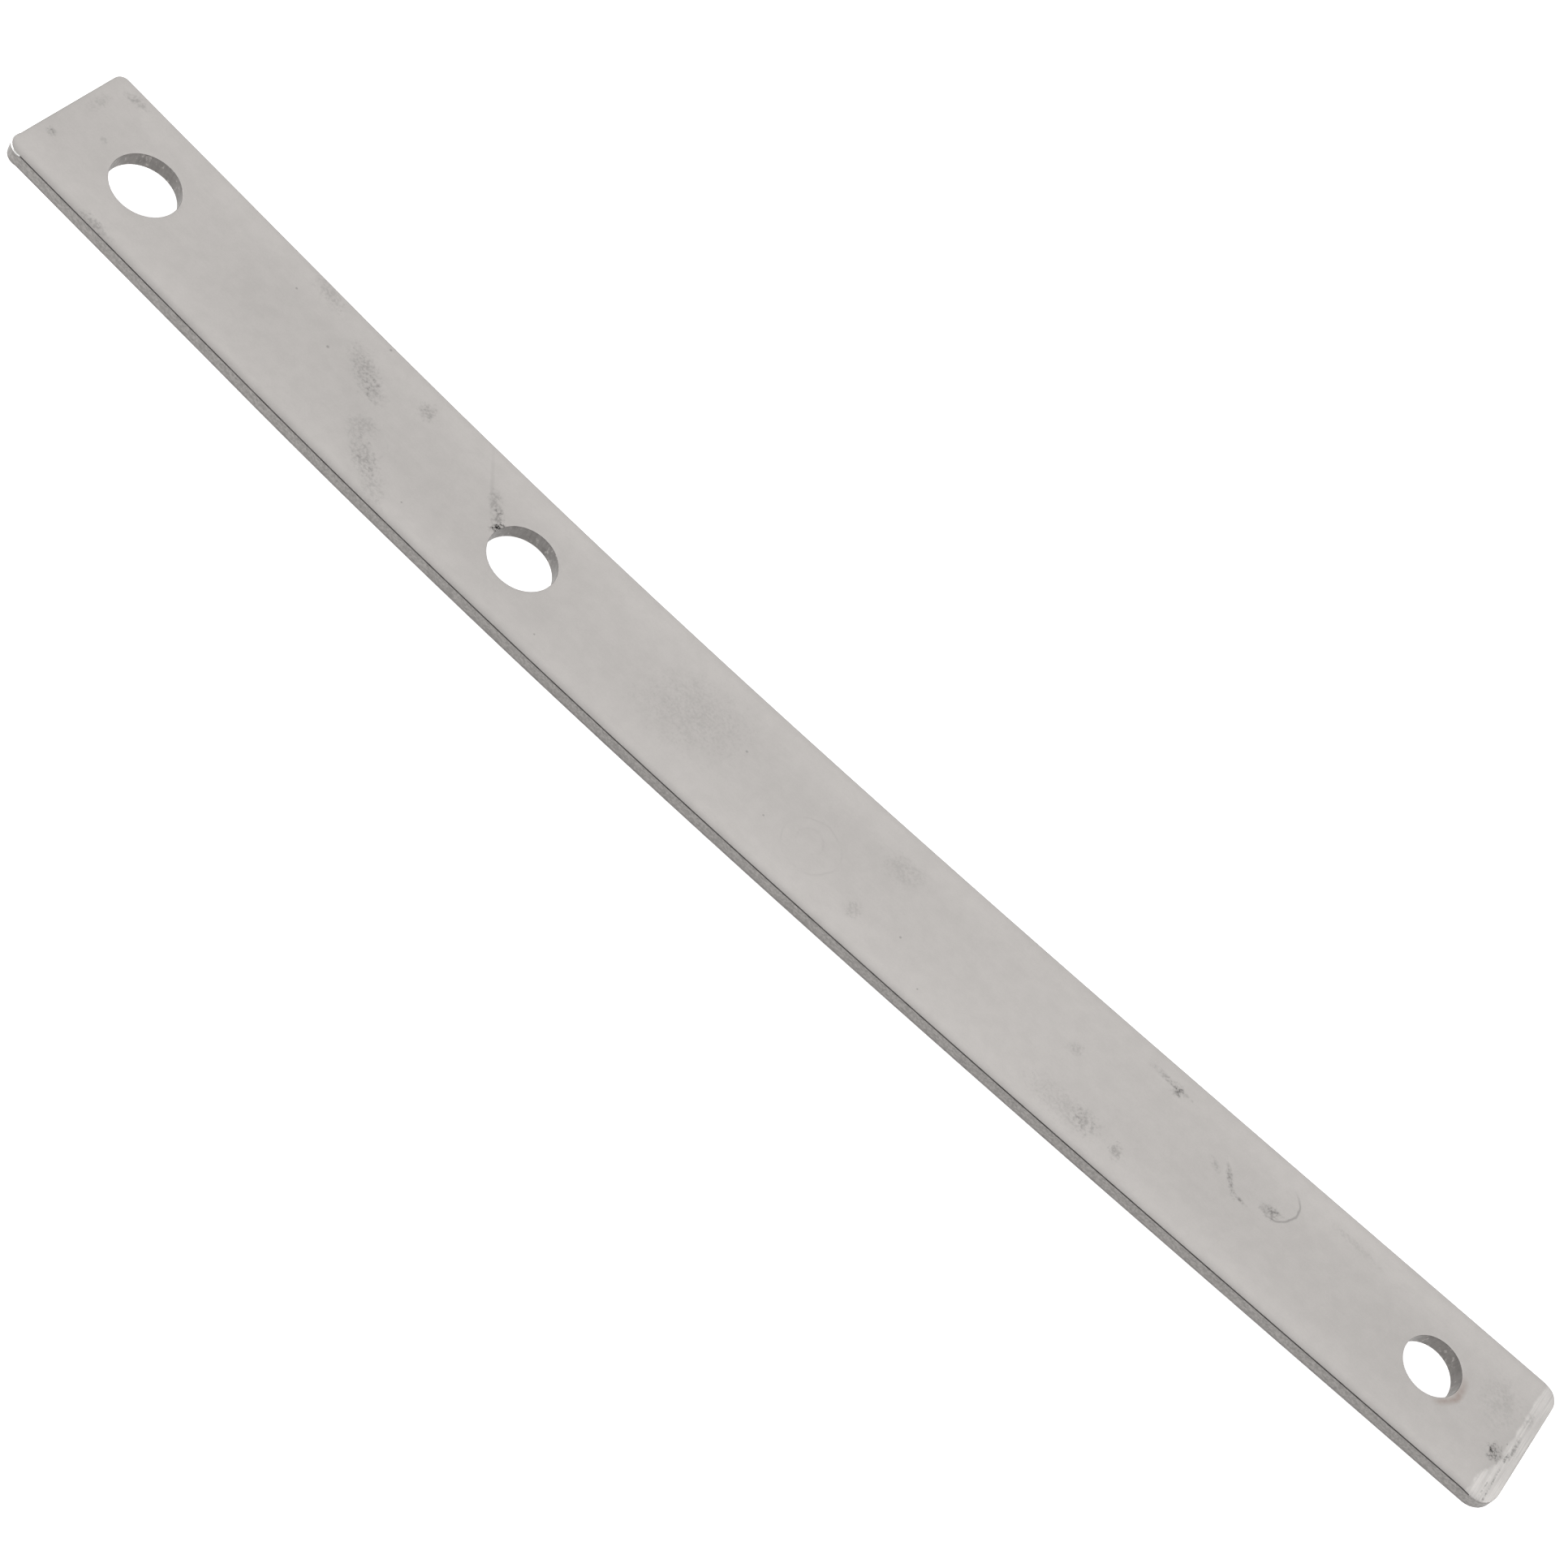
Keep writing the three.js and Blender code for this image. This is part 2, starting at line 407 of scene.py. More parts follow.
def add_plain(sheet, block, depth, slot):
    """A plain stretch on the face or back. The bar's four corners are left to add_corner."""
    rows = []
    for j in range(ROWS + 1):
        rows.append([(*block.place(i, j), depth) for i in range(block.columns + 1)])
    outer_rows = [j for j in range(ROWS) if j < CORNER_RINGS or j >= ROWS - CORNER_RINGS]
    sheet.grid(rows, slot, {(j, i) for j in outer_rows for i in block.corner_columns})


# ---- Holes ----

def hole_centre(name):
    """Place along and across the flat bar of a screw hole, from its opening in the record."""
    low, high = hole_boxes[name]
    x = (low[0] + high[0]) / 2 / MM
    u = x - SHIFT - THICKNESS / 2 * math.sin(bend_angle(x))
    return u, (low[1] + high[1]) / 2 / MM


def add_hole(sheet, block, profile):
    """A hole with rings of quads out to the stretch's rim on both faces, and its wall between."""
    u, v = hole_centre(block.name)
    radius = HOLE_RADII[block.name]
    lean_u, lean_v = HOLE_LEANS.get(block.name, (0.0, 0.0))
    places = border(block.columns, ROWS)
    rim = [block.place(*place) for place in places]
    circle = [Vector(block.unit_place(*place)).normalized() for place in places]
    face_growth = profile[0][0]
    back_growth = profile[-1][0] + RIM_WIDTH

    def ring(growth, depth):
        """The hole's circle, grown all round, at a depth of its leaning wall."""
        middle_u = u + lean_u * depth / THICKNESS
        middle_v = v + lean_v * depth / THICKNESS
        reach = radius + growth
        return [(middle_u + out.x * reach, middle_v + out.y * reach, depth) for out in circle]

    def between(growth, depth, share):
        """A loop part of the way from the grown circle to the stretch's rim."""
        inner = ring(growth, depth)
        return [(p[0] + (q[0] - p[0]) * share, p[1] + (q[1] - p[1]) * share, depth)
                for p, q in zip(inner, rim)]

    shares = [share ** RING_SPACING for share in spread(1.0, 0.0, HOLE_RINGS)]
    sheet.bridge_all([between(face_growth, 0.0, share) for share in shares], lambda step: FACE)
    wall_loops = [ring(growth, depth) for growth, depth in profile]
    wall_loops.append(ring(back_growth, THICKNESS))
    last_step = len(wall_loops) - 2

    def slot_of(step):
        if step < ROLL_STEPS + RIM_FACE_STEPS:
            return FACE
        return BACK if step == last_step else WALL

    sheet.bridge_all(wall_loops, slot_of)
    back_loops = [between(back_growth, THICKNESS, share) for share in reversed(shares)]
    sheet.bridge_all(back_loops, lambda step: BACK)


# ---- Pockets ----

def pocket_loops(block):
    """Outlines from the stretch's rim over the recess's lip and ledge down to the pocket's floor."""
    middle, length = POCKETS[block.name]
    places = border(block.columns, ROWS)
    units = [block.unit_place(*place) for place in places]

    def layer(growth, depth):
        corner = POCKET_CORNER + growth
        flat = rounded_outline(units, length + 2 * growth, POCKET_WIDTH + 2 * growth, corner)
        return [(middle - HALF_LENGTH + x, y, depth) for x, y in flat]

    return [
        [(*block.place(*place), THICKNESS) for place in places],
        layer(RECESS_LEDGE + RECESS_LIP, THICKNESS),
        layer(RECESS_LEDGE, THICKNESS - RECESS_LIP),
        layer(RECESS_LEDGE, RECESS_TOP),
        layer(0.0, RECESS_TOP),
        layer(0.0, POCKET_TOP),
    ]


def filled(places, loop, columns, rows):
    """Rows of points that fill a closed loop laid out round a grid, by blending its four sides."""
    at = {place: point for place, point in zip(places, loop)}

    def blend(i, j):
        s, t = i / columns, j / rows
        point = []
        for k in range(3):
            sides = (at[0, j][k] * (1 - s) + at[columns, j][k] * s
                     + at[i, 0][k] * (1 - t) + at[i, rows][k] * t)
            corners = ((at[0, 0][k] * (1 - s) + at[columns, 0][k] * s) * (1 - t)
                       + (at[0, rows][k] * (1 - s) + at[columns, rows][k] * s) * t)
            point.append(sides - corners)
        return tuple(point)

    return [[blend(i, j) for i in range(columns + 1)] for j in range(rows + 1)]


def add_pocket(sheet, block):
    """The back of a stretch, with the recess for a cover and the pocket milled into it."""
    places = border(block.columns, ROWS)
    loops = pocket_loops(block)
    sheet.bridge_all(loops, lambda step: BACK if step < 2 else POCKET)
    sheet.grid(filled(places, loops[-1], block.columns, ROWS), POCKET)


# ---- Corners and edges ----

def corner_arc(along, side, ends=False):
    """A corner of the bar's outline: (u, v, outward u, outward v), counter-clockwise.

    The points where the arc meets the straight sides are left out unless ends is set.
    """
    radius = CORNERS[along, side]
    start = {(1, -1): -90, (1, 1): 0, (-1, 1): 90, (-1, -1): 180}[along, side]
    centre_u, centre_v = along * (HALF_LENGTH - radius), side * (HALF_WIDTH - radius)
    turns = spread(start, start + 90, CORNER_STEPS)
    points = []
    for turn in turns if ends else turns[1:-1]:
        out_u, out_v = math.cos(math.radians(turn)), math.sin(math.radians(turn))
        points.append((centre_u + radius * out_u, centre_v + radius * out_v, out_u, out_v))
    return points


def straight(blocks, side):
    """Stations along one long side, between its two corners."""
    stations = [u for block in blocks for u in (block.near if side < 0 else block.far)[:-1]]
    first = CORNERS[-1, side] - HALF_LENGTH - SLACK
    last = HALF_LENGTH - CORNERS[1, side] + SLACK
    return [u for u in stations if first <= u <= last]


def outline(blocks):
    """The bar's outline once round, counter-clockwise: (u, v, outward u, outward v)."""
    end_rows = range(CORNER_RINGS, ROWS - CORNER_RINGS + 1)
    points = [(u, -HALF_WIDTH, 0, -1) for u in straight(blocks, -1)]
    points += corner_arc(1, -1)
    points += [(HALF_LENGTH, across(j, HALF_LENGTH), 1, 0) for j in end_rows]
    points += corner_arc(1, 1)
    points += [(u, HALF_WIDTH, 0, 1) for u in reversed(straight(blocks, 1))]
    points += corner_arc(-1, 1)
    points += [(-HALF_LENGTH, across(j, -HALF_LENGTH), -1, 0) for j in reversed(end_rows)]
    points += corner_arc(-1, -1)
    return points


def inward(point, inset, depth):
    """A point of the outline moved in from the edge and down."""
    u, v, out_u, out_v = point
    return u - out_u * inset, v - out_v * inset, depth


def add_corner(sheet, along, side, depth, slot):
    """Fills a corner of the face or back with arcs that shrink to the corner's centre."""
    arc = corner_arc(along, side, ends=True)
    insets = spread(ROLL_WIDTH, CORNERS[along, side], CORNER_RINGS)
    sheet.grid([[inward(point, inset, depth) for point in arc] for inset in insets], slot)


def edge_section(point):
    """The section at a point of the outline, by the way it faces, down to the flat back."""
    u, _, out_u, out_v = point
    nearness = max(0.0, -out_v) ** 2
    farness = max(0.0, out_v) ** 2
    bevel = max(0.0, 2 * out_u * out_v) if u < 0 and out_v < 0 else 0.0
    slope = OTHER_ROLL_SLOPE + (NEAR_ROLL_SLOPE - OTHER_ROLL_SLOPE) * nearness
    radius = EDGE_RADIUS + (BEVEL_RADIUS - EDGE_RADIUS) * bevel
    lean = NEAR_LEAN * nearness + FAR_LEAN * farness + BEVEL_LEAN * bevel
    foot = NEAR_FOOT * nearness + BEVEL_LEAN * bevel
    section = edge_profile(ROLL_WIDTH, radius, slope, BACK_RADIUS, EDGE_WALL, lean, foot)
    return section + [(ROLL_WIDTH, THICKNESS)]


def edge_slot(step, last_step, point):
    """The material of one step down the edge's section, at a point of the outline."""
    u, _, out_u, out_v = point
    if step < ROLL_STEPS:
        return FACE
    if step < 2 * ROLL_STEPS:
        # Partly painted highlight: the near-left corner's round gets the bright bevel finish.
        if u < 0 and out_u < 0 and out_v < 0:
            return BEVEL
        # Painted dark reflection: most of the near edge's small round gets the dark line finish.
        if out_v == -1 and u < LINE_END and step > ROLL_STEPS:
            return LINE
        return FACE if step < ROLL_STEPS + EDGE_FACE_STEPS else EDGE
    if step < 2 * ROLL_STEPS + WALL_STEPS:
        return EDGE
    return BACK if step == last_step else FOOT


def add_edge(sheet, blocks):
    """The edge all round: each point of the outline has a section of its own."""
    points = outline(blocks)
    sections = [edge_section(point) for point in points]
    loops = []
    for step in range(len(sections[0])):
        ring = [inward(point, *section[step]) for point, section in zip(points, sections)]
        loops.append(sheet.loop(ring))
    last_step = len(loops) - 2
    for step, (upper, lower) in enumerate(zip(loops, loops[1:])):
        sheet.bridge(upper, lower, [edge_slot(step, last_step, point) for point in points])


def make_bar(materials):
    """The whole bar: its face and back, stretch by stretch, then its corners and its edge."""
    sheet = Sheet()
    blocks = bar_blocks()
    hole_profile = edge_profile(RIM_WIDTH, RIM_RADIUS, RIM_ROLL_SLOPE, RIM_BACK_RADIUS, HOLE_WALL)
    for block in blocks:
        if block.kind == "hole":
            add_hole(sheet, block, hole_profile)
            continue
        add_plain(sheet, block, 0.0, FACE)
        if block.kind == "pocket":
            add_pocket(sheet, block)
        else:
            add_plain(sheet, block, THICKNESS, BACK)
    for along, side in CORNERS:
        add_corner(sheet, along, side, 0.0, FACE)
        add_corner(sheet, along, side, THICKNESS, BACK)
    add_edge(sheet, blocks)
    return sheet.build("bar_satin_steel", materials)


# ---- Materials from nodes ----

# A Mix node names its sockets alike for every kind of value, so those for colour go by their places.
MIX_SHARE, MIX_FIRST, MIX_SECOND, MIX_RESULT = 0, 6, 7, 2


class Finish:
    """A material built from nodes. Most methods add a node each and hand back the node's output."""

    def __init__(self, name):
        self.material = bpy.data.materials.new(name)
        self.material.use_nodes = True
        self.tree = self.material.node_tree
        self.shader = self.tree.nodes["Principled BSDF"]
        self.place = self.tree.nodes.new("ShaderNodeTexCoord").outputs["Object"]

    def connect(self, value, socket):
        if isinstance(value, bpy.types.NodeSocket):
            self.tree.links.new(value, socket)
        elif isinstance(value, tuple):
            socket.default_value = value[:len(socket.default_value)]
        elif value is not None:
            socket.default_value = value

    def node(self, kind, inputs=None, **settings):
        made = self.tree.nodes.new(kind)
        for name, value in settings.items():
            setattr(made, name, value)
        for name, value in (inputs or {}).items():
            self.connect(value, made.inputs[name])
        return made

    def math(self, operation, first, second=None, third=None):
        made = self.node("ShaderNodeMath", operation=operation)
        for socket, value in zip(made.inputs, (first, second, third)):
            self.connect(value, socket)
        return made.outputs[0]

    def product(self, first, *others):
        for other in others:
            first = self.math("MULTIPLY", first, other)
        return first

    def total(self, first, *others):
        for other in others:
            first = self.math("ADD", first, other)
        return first

    def about_zero(self, noise):
        """Noise from 0 to 1 moved to lie evenly about zero."""
        return self.math("SUBTRACT", noise, 0.5)

    def scaled(self, stretch, turn=0.0, origin=(0, 0, 0)):
        """Object coordinates about origin, turned about Z and stretched."""
        moved = self.node("ShaderNodeVectorMath", {0: self.place, 1: origin}, operation="SUBTRACT")
        turned = moved.outputs[0]
        if turn:
            spin = self.node("ShaderNodeVectorRotate", {"Vector": turned, "Angle": turn})
            turned = spin.outputs[0]
        stretched = self.node("ShaderNodeVectorMath", {0: turned, 1: stretch}, operation="MULTIPLY")
        return stretched.outputs[0]

    def noise(self, waves, detail=3.0, roughness=0.55, distortion=0.0):
        """Cloudy noise from 0 to 1. waves is how many it has per metre, or along X, Y and Z."""
        stretch = waves if isinstance(waves, tuple) else (waves, waves, waves)
        made = self.node("ShaderNodeTexNoise", {
            "Vector": self.scaled(stretch), "Scale": 1.0, "Detail": detail,
            "Roughness": roughness, "Distortion": distortion})
        return made.outputs["Fac"]

    def ramp(self, value, low, high, start=0.0, end=1.0):
        """Moves value from start to end as it passes from low to high, smoothly."""
        made = self.node("ShaderNodeMapRange", {
            "Value": value, "From Min": low, "From Max": high, "To Min": start, "To Max": end},
            interpolation_type="SMOOTHSTEP")
        return made.outputs[0]

    def vary(self, noise, start, end):
        """Spreads the middle of a noise's range, where most of it lies, from start to end."""
        return self.ramp(noise, 0.3, 0.7, start, end)

    def blend(self, share, first, second):
        """Colour between first and second."""
        made = self.node("ShaderNodeMix", data_type="RGBA")
        self.connect(share, made.inputs[MIX_SHARE])
        self.connect(first, made.inputs[MIX_FIRST])
        self.connect(second, made.inputs[MIX_SECOND])
        return made.outputs[MIX_RESULT]

    def shade(self, colour, value):
        """colour times a grey value."""
        made = self.node("ShaderNodeVectorMath", {0: colour, "Scale": value}, operation="SCALE")
        return made.outputs[0]

    def axis(self, name):
        return self.node("ShaderNodeSeparateXYZ", {"Vector": self.place}).outputs[name]

    def reach(self, centre, size, turn=0.0):
        """Distance in plan from centre, in units of size. Both are millimetres, along X and Y."""
        stretch = (1 / (size[0] * MM), 1 / (size[1] * MM), 0.0)
        flat = self.scaled(stretch, turn, (centre[0] * MM, centre[1] * MM, 0.0))
        return self.node("ShaderNodeVectorMath", {0: flat}, operation="LENGTH").outputs["Value"]

    def spot(self, centre, size, turn=0.0, soft=0.5, ragged=0.0):
        """A soft-edged patch in plan, 1 inside and 0 outside. ragged is how much its edge wanders."""
        reach = self.reach(centre, size, turn)
        if ragged:
            wave = self.noise(1500.0, roughness=0.65)
            reach = self.math("ADD", reach, self.math("MULTIPLY", self.about_zero(wave), ragged))
        return self.ramp(reach, 1.0 - soft, 1.0 + soft, 1.0, 0.0)

    def ring(self, centre, radius, width):
        """A soft, slightly wavering line round a circle in plan, 1 on the line."""
        reach = self.reach(centre, (1.0, 1.0))
        waver = 1.2
        reach = self.math("MULTIPLY_ADD", self.about_zero(self.noise(260.0)), waver, reach)
        off = self.math("ABSOLUTE", self.math("SUBTRACT", reach, radius))
        return self.ramp(off, 0.0, width, 1.0, 0.0)

    def patchy(self, waves):
        """Patches from 0 to 1 that break up a mark."""
        return self.ramp(self.noise(waves, detail=2.0), 0.35, 0.62)

    def bump(self, height, distance, strength):
        """Relief on the surface. distance is millimetres."""
        made = self.node("ShaderNodeBump", {
            "Height": height, "Distance": distance * MM, "Strength": strength})
        self.connect(made.outputs[0], self.shader.inputs["Normal"])

    def done(self, colour, metallic, roughness):
        self.connect(colour, self.shader.inputs["Base Color"])
        self.connect(metallic, self.shader.inputs["Metallic"])
        self.connect(roughness, self.shader.inputs["Roughness"])
        return self.material


# ---- Colours ----

SATIN_STEEL = (0.522, 0.499, 0.481, 1.0)
GROUND_STEEL = (0.64, 0.617, 0.597, 1.0)
SHEARED_STEEL = (0.245, 0.234, 0.224, 1.0)
FOOT_DARK_STEEL = (0.2, 0.19, 0.185, 1.0)
# Colour of the painted dark reflection on the near edge's small round.
PAINTED_REFLECTION_STEEL = (0.075, 0.071, 0.069, 1.0)
# Partly painted highlight: the corner bevel's colour, far brighter than ground steel.
BEVEL_HIGHLIGHT_STEEL = (0.85, 0.84, 0.82, 1.0)
PUNCHED_STEEL = (0.2, 0.19, 0.182, 1.0)
BROWN_STAIN = (0.36, 0.29, 0.26, 1.0)
NICKEL = (0.68, 0.66, 0.62, 1.0)
MILD_STEEL = (0.42, 0.41, 0.40, 1.0)
COVER_STEEL = (0.56, 0.55, 0.54, 1.0)
BLACK_PLASTIC = (0.022, 0.022, 0.024, 1.0)
FLOOR_WHITE = (0.75, 0.75, 0.75, 1.0)
GLOW_WHITE = (1.0, 1.0, 1.0, 1.0)
FLOOR_GLOW = 0.75

# ---- Marks on the knife face, in millimetres in plan from the middle of the bar ----

# Smudges: (x, y, half length, half width, turn in degrees, how dark)
SMUDGES = [
    (-144.6, 10.8, 1.6, 0.7, 10, 0.08),
    (-147.6, 5.5, 0.8, 2.0, 0, 0.05),
    (-147.7, -5.4, 0.6, 0.6, 0, 0.14),
    (-142.2, 0.6, 0.5, 0.4, 0, 0.08),
    (-132.0, -12.0, 2.4, 0.6, 0, 0.09),
    (-102.5, 11.2, 2.6, 1.2, -15, 0.06),
    (-89.4, 5.2, 3.4, 1.5, -35, 0.08),
    (-85.8, 3.6, 1.8, 1.2, -30, 0.05),
    (-78.4, 8.2, 1.1, 1.3, 20, 0.08),
    (-78.8, -7.2, 2.6, 1.5, -35, 0.08),
    (-83.0, -3.0, 1.6, 1.8, -35, 0.05),
    (-74.5, -10.0, 2.6, 1.4, -35, 0.05),
    (-57.7, 1.3, 0.5, 1.1, -15, 0.3),
    (-58.6, 2.6, 0.7, 1.6, 25, 0.12),
    (-60.8, 4.6, 1.9, 0.8, -48, 0.08),
    (-16.0, 1.0, 6.5, 5.0, 25, 0.035),
    (23.5, 6.0, 2.6, 2.0, 15, 0.04),
    (22.0, -6.5, 1.0, 1.4, 0, 0.05),
    (65.0, -8.0, 5.0, 1.9, 0, 0.04),
    (68.8, -7.6, 1.6, 1.4, -25, 0.06),
    (61.0, 2.0, 1.2, 0.9, 30, 0.05),
    (75.2, 9.4, 3.0, 0.45, -4, 0.1),
    (76.8, 8.9, 0.7, 0.8, 0, 0.16),
    (75.2, -8.0, 0.8, 1.1, 30, 0.1),
    (88.0, 2.8, 1.1, 0.5, -30, 0.07),
    (91.0, 2.6, 2.2, 0.35, -50, 0.13),
    (93.9, 0.7, 1.0, 0.25, -5, 0.13),
    (98.8, 2.9, 1.3, 0.8, 20, 0.15),
    (112.0, 8.9, 3.4, 0.6, -4, 0.04),
    (143.0, 4.0, 2.4, 3.4, 15, 0.035),
    (146.1, -3.9, 1.0, 1.1, 0, 0.16),
    (145.4, -4.0, 0.5, 0.4, 30, 0.12),
    (145.7, -5.3, 0.5, 0.4, 60, 0.14),
    (148.3, -0.6, 0.3, 1.7, 4, 0.13),
    (147.9, -3.0, 0.2, 0.9, 0, 0.16),
    (148.2, -9.0, 0.15, 3.2, 2, 0.14),
    (147.5, -10.5, 0.12, 2.4, 0, 0.1),
    (148.0, 5.0, 0.6, 1.2, 0, 0.06),
]
SMUDGE_STRENGTH = 1.5

# Specks: (x, y, radius)
SPECKS = [
    (-89.7, 11.9, 0.22), (-106.2, 7.2, 0.2), (-6.3, 2.6, 0.22), (30.1, -4.4, 0.2),
    (2.4, -4.5, 0.18), (147.0, -1.1, 0.14), (147.9, -2.8, 0.12), (-41.5, -8.9, 0.16),
    (-96.0, 3.4, 0.24), (37.2, -9.7, 0.16), (-70.0, -8.2, 0.16),
]
SPECK_DARKNESS = 0.28

# Broken rings: (centre, radius, line width, waves of its patches per metre, how dark)
RINGS = [
    ((10.8, -2.7), 5.1, 0.3, 420.0, 0.07),
    ((10.2, -2.2), 2.3, 0.35, 500.0, 0.045),
    ((-80.5, -4.5), 3.2, 0.3, 500.0, 0.06),
]

# Arcs, each the part of a circle that lies in an oval: (the circle's centre, radius and line width,
# the oval's centre, half sizes and softness, how dark)
ARCS = [
    ((98.6, 5.6), 3.7, 0.3, (101.4, 4.0), (2.9, 4.4), 0.3, 0.3),
    ((-108.0, -25.0), 33.0, 5.0, (-84.0, -1.0), (12.0, 12.0), 0.6, 0.03),
]

# Broad stretches of painted shade, on the right part and the left part of the face: (centre, half sizes,
# how dark)
PAINTED_SHADE_STRETCHES = [
    ((117.0, -2.0), (34.0, 9.0), 0.065),
    ((-85.0, -2.0), (34.0, 11.0), 0.05),
]

# The ground end looks ground from here on, from the middle, and from further in on the near side.
GROUND_START = 146.9
GROUND_STEP = 1.6
GROUND_WANDER = 1.6


def smudges_and_specks(f):
    darkness = 0.0
    for x, y, length, width, turn, dark in SMUDGES:
        spot = f.spot((x, y), (length, width), -math.radians(turn), soft=0.8, ragged=3.2)
        darkness = f.math("MULTIPLY_ADD", spot, SMUDGE_STRENGTH * dark, darkness)
    flecks = f.noise(1900.0, roughness=0.7)
    darkness = f.math("MULTIPLY", darkness, f.ramp(flecks, 0.38, 0.62, 0.4, 2.2))
    for x, y, radius in SPECKS:
        spot = f.spot((x, y), (radius, radius), soft=0.4)
        darkness = f.math("MULTIPLY_ADD", spot, SPECK_DARKNESS, darkness)
    return darkness


def handling_marks(f):
    """How much the fine marks of handling darken the face."""
    darkness = smudges_and_specks(f)
    for centre, radius, width, waves, dark in RINGS:
        ring = f.product(f.ring(centre, radius, width), f.patchy(waves))
        darkness = f.math("MULTIPLY_ADD", ring, dark, darkness)
    for centre, radius, width, oval, size, soft, dark in ARCS:
        arc = f.product(f.ring(centre, radius, width), f.spot(oval, size, soft=soft))
        darkness = f.math("MULTIPLY_ADD", arc, dark, darkness)
    scratch = f.spot((-63.5, 7.0), (5.5, 0.3), math.radians(52), soft=0.7, ragged=0.8)
    return f.math("MULTIPLY_ADD", scratch, 0.07, darkness)


def painted_shade_stretches(f):
    """How much two broad stretches of painted shade darken the face."""
    stretch_shade = 0.0
    for centre, size, dark in PAINTED_SHADE_STRETCHES:
        stretch_shade = f.math("MULTIPLY_ADD", f.spot(centre, size, soft=0.8), dark, stretch_shade)
    return stretch_shade


def satin_tone(f, grain, mottle):
    """Fine and broad unevenness of the satin, lighter towards both long edges, and painted shade on the
    near roll.
    """
    y = f.axis("Y")
    cloud = f.noise((30.0, 60.0, 60.0))
    lines = f.noise((90.0, 2600.0, 2600.0), detail=2.0)
    by_edges = f.ramp(f.math("ABSOLUTE", y), 5.0 * MM, 10.5 * MM, 0.0, 0.035)
    # Painted shade: the rolled-over near edge is darkened in colour, as its tilt away from the light
    # would shade it.
    near_roll_painted_shade = f.ramp(y, -12.8 * MM, -11.2 * MM, -0.17, 0.0)
    return f.total(
        f.vary(grain, 0.985, 1.015), f.vary(cloud, -0.025, 0.02), f.vary(mottle, -0.02, 0.02),
        f.vary(lines, -0.006, 0.006), by_edges, near_roll_painted_shade)


def ground_share(f, mottle):
    """1 on the ground end. It begins on a ragged line that steps in towards the near side."""
    step = f.ramp(f.axis("Y"), -9.0 * MM, -4.5 * MM, GROUND_STEP * MM, 0.0)
    wander = f.product(f.about_zero(mottle), GROUND_WANDER * MM)
    along = f.total(f.axis("X"), step, wander)
    return f.ramp(along, GROUND_START * MM, (GROUND_START + 0.6) * MM)


def ground_streaks(f, ground, scratches):
    """What the grinding streaks multiply the tone by, 1 outside the ground end."""
    stripes = f.noise((900.0, 40.0, 100.0), detail=2.0)
    streaks = f.total(f.vary(scratches, 0.96, 1.1), f.ramp(stripes, 0.35, 0.7, -0.03, 0.07))
    return f.math("MULTIPLY_ADD", f.math("SUBTRACT", streaks, 1.0), ground, 1.0)


def run_out_stain(f, mottle):
    """1 where a brown stain hugs the lower right rim of the small hole."""
    x, y = hole_centre("screw_hole_right")
    radius = HOLE_RADII["screw_hole_right"]
    rim = f.ring((x + 0.3, y - 0.2), radius + 0.3, 0.95)
    side = f.spot((x + radius, y - 2.0), (2.4, 3.6))
    return f.product(rim, side, f.ramp(mottle, 0.3, 0.6, 0.45, 0.85))


# ---- Finishes ----

def satin_face():
    """The knife face: fine satin with faint marks and painted shade, lighter where its right end is
    ground.
    """
    f = Finish("steel_satin_face")
    grain = f.noise(4200.0, detail=2.0)
    mottle = f.noise(420.0, roughness=0.6)
    scratches = f.noise((3600.0, 130.0, 400.0), roughness=0.6)
    ground = ground_share(f, mottle)
    tone = f.math("SUBTRACT", satin_tone(f, grain, mottle), handling_marks(f))
    # Painted shade: two broad stretches of the face are darkened in colour.
    tone = f.math("SUBTRACT", tone, painted_shade_stretches(f))
    tone = f.product(tone, ground_streaks(f, ground, scratches))
    colour = f.blend(ground, SATIN_STEEL, GROUND_STEEL)
    colour = f.blend(run_out_stain(f, mottle), colour, BROWN_STAIN)
    f.bump(f.math("MULTIPLY_ADD", grain, 0.5, f.product(scratches, ground, 2.0)), 0.01, 0.6)
    return f.done(f.shade(colour, tone), 1.0, f.math("MULTIPLY_ADD", ground, 0.08, 0.4))


def near_round_painted_reflection():
    """A painted dark reflection: a thin dark line coloured onto the near edge's small round, between the
    rolled face and the wall below.
    """
    f = Finish("steel_shear_line")
    blotch = f.noise(700.0, roughness=0.6)
    return f.done(f.shade(PAINTED_REFLECTION_STEEL, f.vary(blotch, 0.6, 1.4)), 1.0, 0.5)


def sheared_edge():
    """The sheared side walls: matt and gritty, drawn lengthwise."""
    f = Finish("steel_sheared_edge")
    lines = f.noise((420.0, 420.0, 5200.0))
    blotch = f.noise((700.0, 700.0, 1500.0), roughness=0.6)
    grit = f.noise(2600.0, detail=2.0)
    tone = f.total(f.vary(lines, 0.92, 1.04), f.vary(blotch, -0.06, 0.06), f.vary(grit, -0.16, 0.16))
    f.bump(f.total(lines, grit), 0.02, 0.5)
    return f.done(f.shade(SHEARED_STEEL, tone), 1.0, 0.5)


def darker_wall_foot():
    """A darker band along the foot of the side walls."""
    f = Finish("steel_torn_foot")
    blotch = f.noise((800.0, 800.0, 2500.0), roughness=0.6)
    f.bump(blotch, 0.03, 0.6)
    return f.done(f.shade(FOOT_DARK_STEEL, f.vary(blotch, 0.8, 1.2)), 1.0, 0.5)


